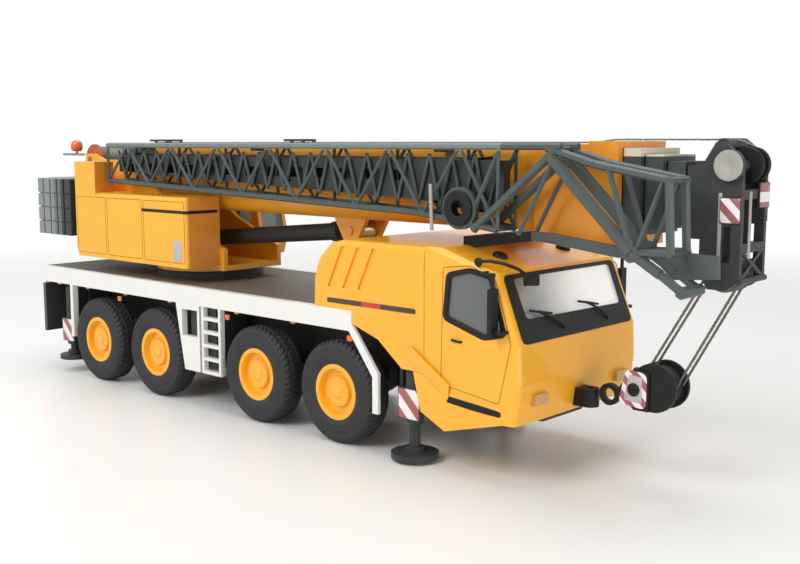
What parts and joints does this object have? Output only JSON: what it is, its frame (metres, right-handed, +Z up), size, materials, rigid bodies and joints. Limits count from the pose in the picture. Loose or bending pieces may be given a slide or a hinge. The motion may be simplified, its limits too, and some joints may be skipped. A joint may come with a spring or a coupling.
{
  "type": "mobile crane scale model",
  "caption": "Scale model of a multi-axle mobile crane: slewing turntable, luffing telescopic boom, stowed lattice jib, outriggers with jacks, steered wheels and a hook block.",
  "frame": {"origin": "centre of the bounding box's bottom face, on the floor under the wheels", "axes": "+X forward, +Y to the crane's left, +Z up"},
  "size_m": [0.258, 0.0576, 0.0793],
  "materials": {
    "yellow_paint": "satin enamel, warm yellow",
    "section_paint": "satin enamel on the inner boom sections",
    "white_paint": "satin white enamel",
    "frame_grey": "dark grey enamel",
    "deck_grey": "matt grey-brown deck paint",
    "ballast_grey": "matt mid grey enamel",
    "jib_grey": "satin grey-green enamel",
    "steel": "turned steel",
    "rope": "grey stranded cord",
    "black_plastic": "moulded black plastic",
    "glass": "clear glazing",
    "interior": "moulded grey interior",
    "lamp": "clear and amber lamp lenses",
    "tyre": "soft black rubber"
  },
  "bodies": {
    "carrier": {"chassis_frame": "frame_grey", "deck": "deck_grey", "slewing_ring": "frame_grey", "side_bands": "white_paint", "tool_boxes": "frame_grey", "ladders": "white_paint", "rear_beam": "frame_grey", "outrigger_boxes": "frame_grey", "engine_hood": "yellow_paint", "carrier_cab": "yellow_paint", "cab_glazing": "glass", "cab_interior": "interior", "front_coupling": "frame_grey", "lamps": "lamp", "mirrors": "black_plastic", "roof_bar": "black_plastic", "axle_beams": "frame_grey"},
    "knuckle_1R": {"knuckle_1R": "frame_grey"},
    "wheel_1R": {"tyre_1R": "tyre", "rim_1R": "yellow_paint"},
    "knuckle_1L": {"knuckle_1L": "frame_grey"},
    "wheel_1L": {"tyre_1L": "tyre", "rim_1L": "yellow_paint"},
    "knuckle_2R": {"knuckle_2R": "frame_grey"},
    "wheel_2R": {"tyre_2R": "tyre", "rim_2R": "yellow_paint"},
    "knuckle_2L": {"knuckle_2L": "frame_grey"},
    "wheel_2L": {"tyre_2L": "tyre", "rim_2L": "yellow_paint"},
    "wheels_3": {"tyres_3": "tyre", "wheelset_3": "yellow_paint"},
    "wheels_4": {"tyres_4": "tyre", "wheelset_4": "yellow_paint"},
    "leg_rear_R": {"outrigger_rear_R": "frame_grey"},
    "jack_rear_R": {"jack_rear_R": "steel"},
    "leg_rear_L": {"outrigger_rear_L": "frame_grey"},
    "jack_rear_L": {"jack_rear_L": "steel"},
    "leg_front_R": {"outrigger_front_R": "frame_grey"},
    "jack_front_R": {"jack_front_R": "steel"},
    "leg_front_L": {"outrigger_front_L": "frame_grey"},
    "jack_front_L": {"jack_front_L": "steel"},
    "turntable": {"upper_frame": "yellow_paint", "right_housing": "yellow_paint", "left_housing": "yellow_paint", "counterweight": "ballast_grey", "operator_cab": "yellow_paint", "operator_glass": "glass"},
    "drum": {"hoist_drum": "steel"},
    "boom": {"boom_base": "yellow_paint", "jib": "jib_grey", "jib_front": "jib_grey"},
    "lift_barrel": {"lift_barrel": "jib_grey"},
    "lift_rod": {"lift_rod": "steel"},
    "section_1": {"boom_section_1": "section_paint"},
    "section_2": {"boom_section_2": "section_paint"},
    "section_3": {"boom_section_3": "section_paint", "boom_head": "jib_grey", "head_sheaves": "black_plastic"},
    "falls": {"rope_falls": "rope"},
    "hook": {"hook_block": "jib_grey"}
  },
  "joints": [
    {"name": "steer_1R", "type": "hinge", "parent": "carrier", "child": "knuckle_1R", "pos_m": [0.0263, -0.014, 0.0137], "axis": [0, 0, 1], "range_deg": [-18, 18]},
    {"name": "spin_1R", "type": "hinge", "parent": "knuckle_1R", "child": "wheel_1R", "pos_m": [0.0263, 0, 0.0137], "axis": [0, 1, 0], "continuous": true},
    {"name": "steer_1L", "type": "hinge", "parent": "carrier", "child": "knuckle_1L", "pos_m": [0.0263, 0.014, 0.0137], "axis": [0, 0, 1], "range_deg": [-18, 18]},
    {"name": "spin_1L", "type": "hinge", "parent": "knuckle_1L", "child": "wheel_1L", "pos_m": [0.0263, 0, 0.0137], "axis": [0, 1, 0], "continuous": true},
    {"name": "steer_2R", "type": "hinge", "parent": "carrier", "child": "knuckle_2R", "pos_m": [-0.0057, -0.014, 0.0137], "axis": [0, 0, 1], "range_deg": [-13.5, 13.5]},
    {"name": "spin_2R", "type": "hinge", "parent": "knuckle_2R", "child": "wheel_2R", "pos_m": [-0.0057, 0, 0.0137], "axis": [0, 1, 0], "continuous": true},
    {"name": "steer_2L", "type": "hinge", "parent": "carrier", "child": "knuckle_2L", "pos_m": [-0.0057, 0.014, 0.0137], "axis": [0, 0, 1], "range_deg": [-13.5, 13.5]},
    {"name": "spin_2L", "type": "hinge", "parent": "knuckle_2L", "child": "wheel_2L", "pos_m": [-0.0057, 0, 0.0137], "axis": [0, 1, 0], "continuous": true},
    {"name": "spin_3", "type": "hinge", "parent": "carrier", "child": "wheels_3", "pos_m": [-0.0537, 0, 0.0137], "axis": [0, 1, 0], "continuous": true},
    {"name": "spin_4", "type": "hinge", "parent": "carrier", "child": "wheels_4", "pos_m": [-0.0857, 0, 0.0137], "axis": [0, 1, 0], "continuous": true},
    {"name": "extend_rear_R", "type": "slide", "parent": "carrier", "child": "leg_rear_R", "axis": [0, -1, 0], "range_m": [0, 0.03]},
    {"name": "lower_rear_R", "type": "slide", "parent": "leg_rear_R", "child": "jack_rear_R", "axis": [0, 0, -1], "range_m": [0, 0.0105]},
    {"name": "extend_rear_L", "type": "slide", "parent": "carrier", "child": "leg_rear_L", "axis": [0, 1, 0], "range_m": [0, 0.03]},
    {"name": "lower_rear_L", "type": "slide", "parent": "leg_rear_L", "child": "jack_rear_L", "axis": [0, 0, -1], "range_m": [0, 0.0105]},
    {"name": "extend_front_R", "type": "slide", "parent": "carrier", "child": "leg_front_R", "axis": [0, -1, 0], "range_m": [0, 0.03]},
    {"name": "lower_front_R", "type": "slide", "parent": "leg_front_R", "child": "jack_front_R", "axis": [0, 0, -1], "range_m": [-0.0037, 0.0068]},
    {"name": "extend_front_L", "type": "slide", "parent": "carrier", "child": "leg_front_L", "axis": [0, 1, 0], "range_m": [0, 0.03]},
    {"name": "lower_front_L", "type": "slide", "parent": "leg_front_L", "child": "jack_front_L", "axis": [0, 0, -1], "range_m": [-0.0037, 0.0068]},
    {"name": "slew", "type": "hinge", "parent": "carrier", "child": "turntable", "pos_m": [-0.0575, 0, 0.0359], "axis": [0, 0, 1], "continuous": true},
    {"name": "wind", "type": "hinge", "parent": "turntable", "child": "drum", "pos_m": [-0.109, 0, 0.0723], "axis": [0, 1, 0], "continuous": true},
    {"name": "luff", "type": "hinge", "parent": "turntable", "child": "boom", "pos_m": [-0.0957, 0, 0.067], "axis": [0, -1, 0], "range_deg": [0, 75]},
    {"name": "lift_swing", "type": "hinge", "parent": "turntable", "child": "lift_barrel", "pos_m": [-0.068, 0, 0.0466], "axis": [0, -1, 0], "range_deg": [0, 78.81]},
    {"name": "lift_extend", "type": "slide", "parent": "lift_barrel", "child": "lift_rod", "axis": [0.996, 0, 0.0896], "range_m": [0, 0.04143]},
    {"name": "telescope_1", "type": "slide", "parent": "boom", "child": "section_1", "axis": [1, 0, 0], "range_m": [0, 0.14]},
    {"name": "telescope_2", "type": "slide", "parent": "section_1", "child": "section_2", "axis": [1, 0, 0], "range_m": [0, 0.14]},
    {"name": "telescope_3", "type": "slide", "parent": "section_2", "child": "section_3", "axis": [1, 0, 0], "range_m": [0, 0.14]},
    {"name": "falls_swing", "type": "hinge", "parent": "section_3", "child": "falls", "pos_m": [0.1218, 0, 0.0506], "axis": [0, 1, 0], "range_deg": [0, 45.28]},
    {"name": "hook_swing", "type": "hinge", "parent": "falls", "child": "hook", "pos_m": [0.1063, 0, 0.0235], "axis": [0, -1, 0], "range_deg": [0, 60]}
  ],
  "couplings": [
    {"joint": "steer_1L", "follows": "steer_1R", "ratio": 1},
    {"joint": "steer_2R", "follows": "steer_1R", "ratio": 0.75},
    {"joint": "steer_2L", "follows": "steer_1R", "ratio": 0.75},
    {"joint": "lift_swing", "follows": "luff", "ratio": 1.0501},
    {"joint": "lift_extend", "follows": "luff", "m_per_rad": 0.031611},
    {"joint": "falls_swing", "follows": "luff", "ratio": 0.60307}
  ]
}
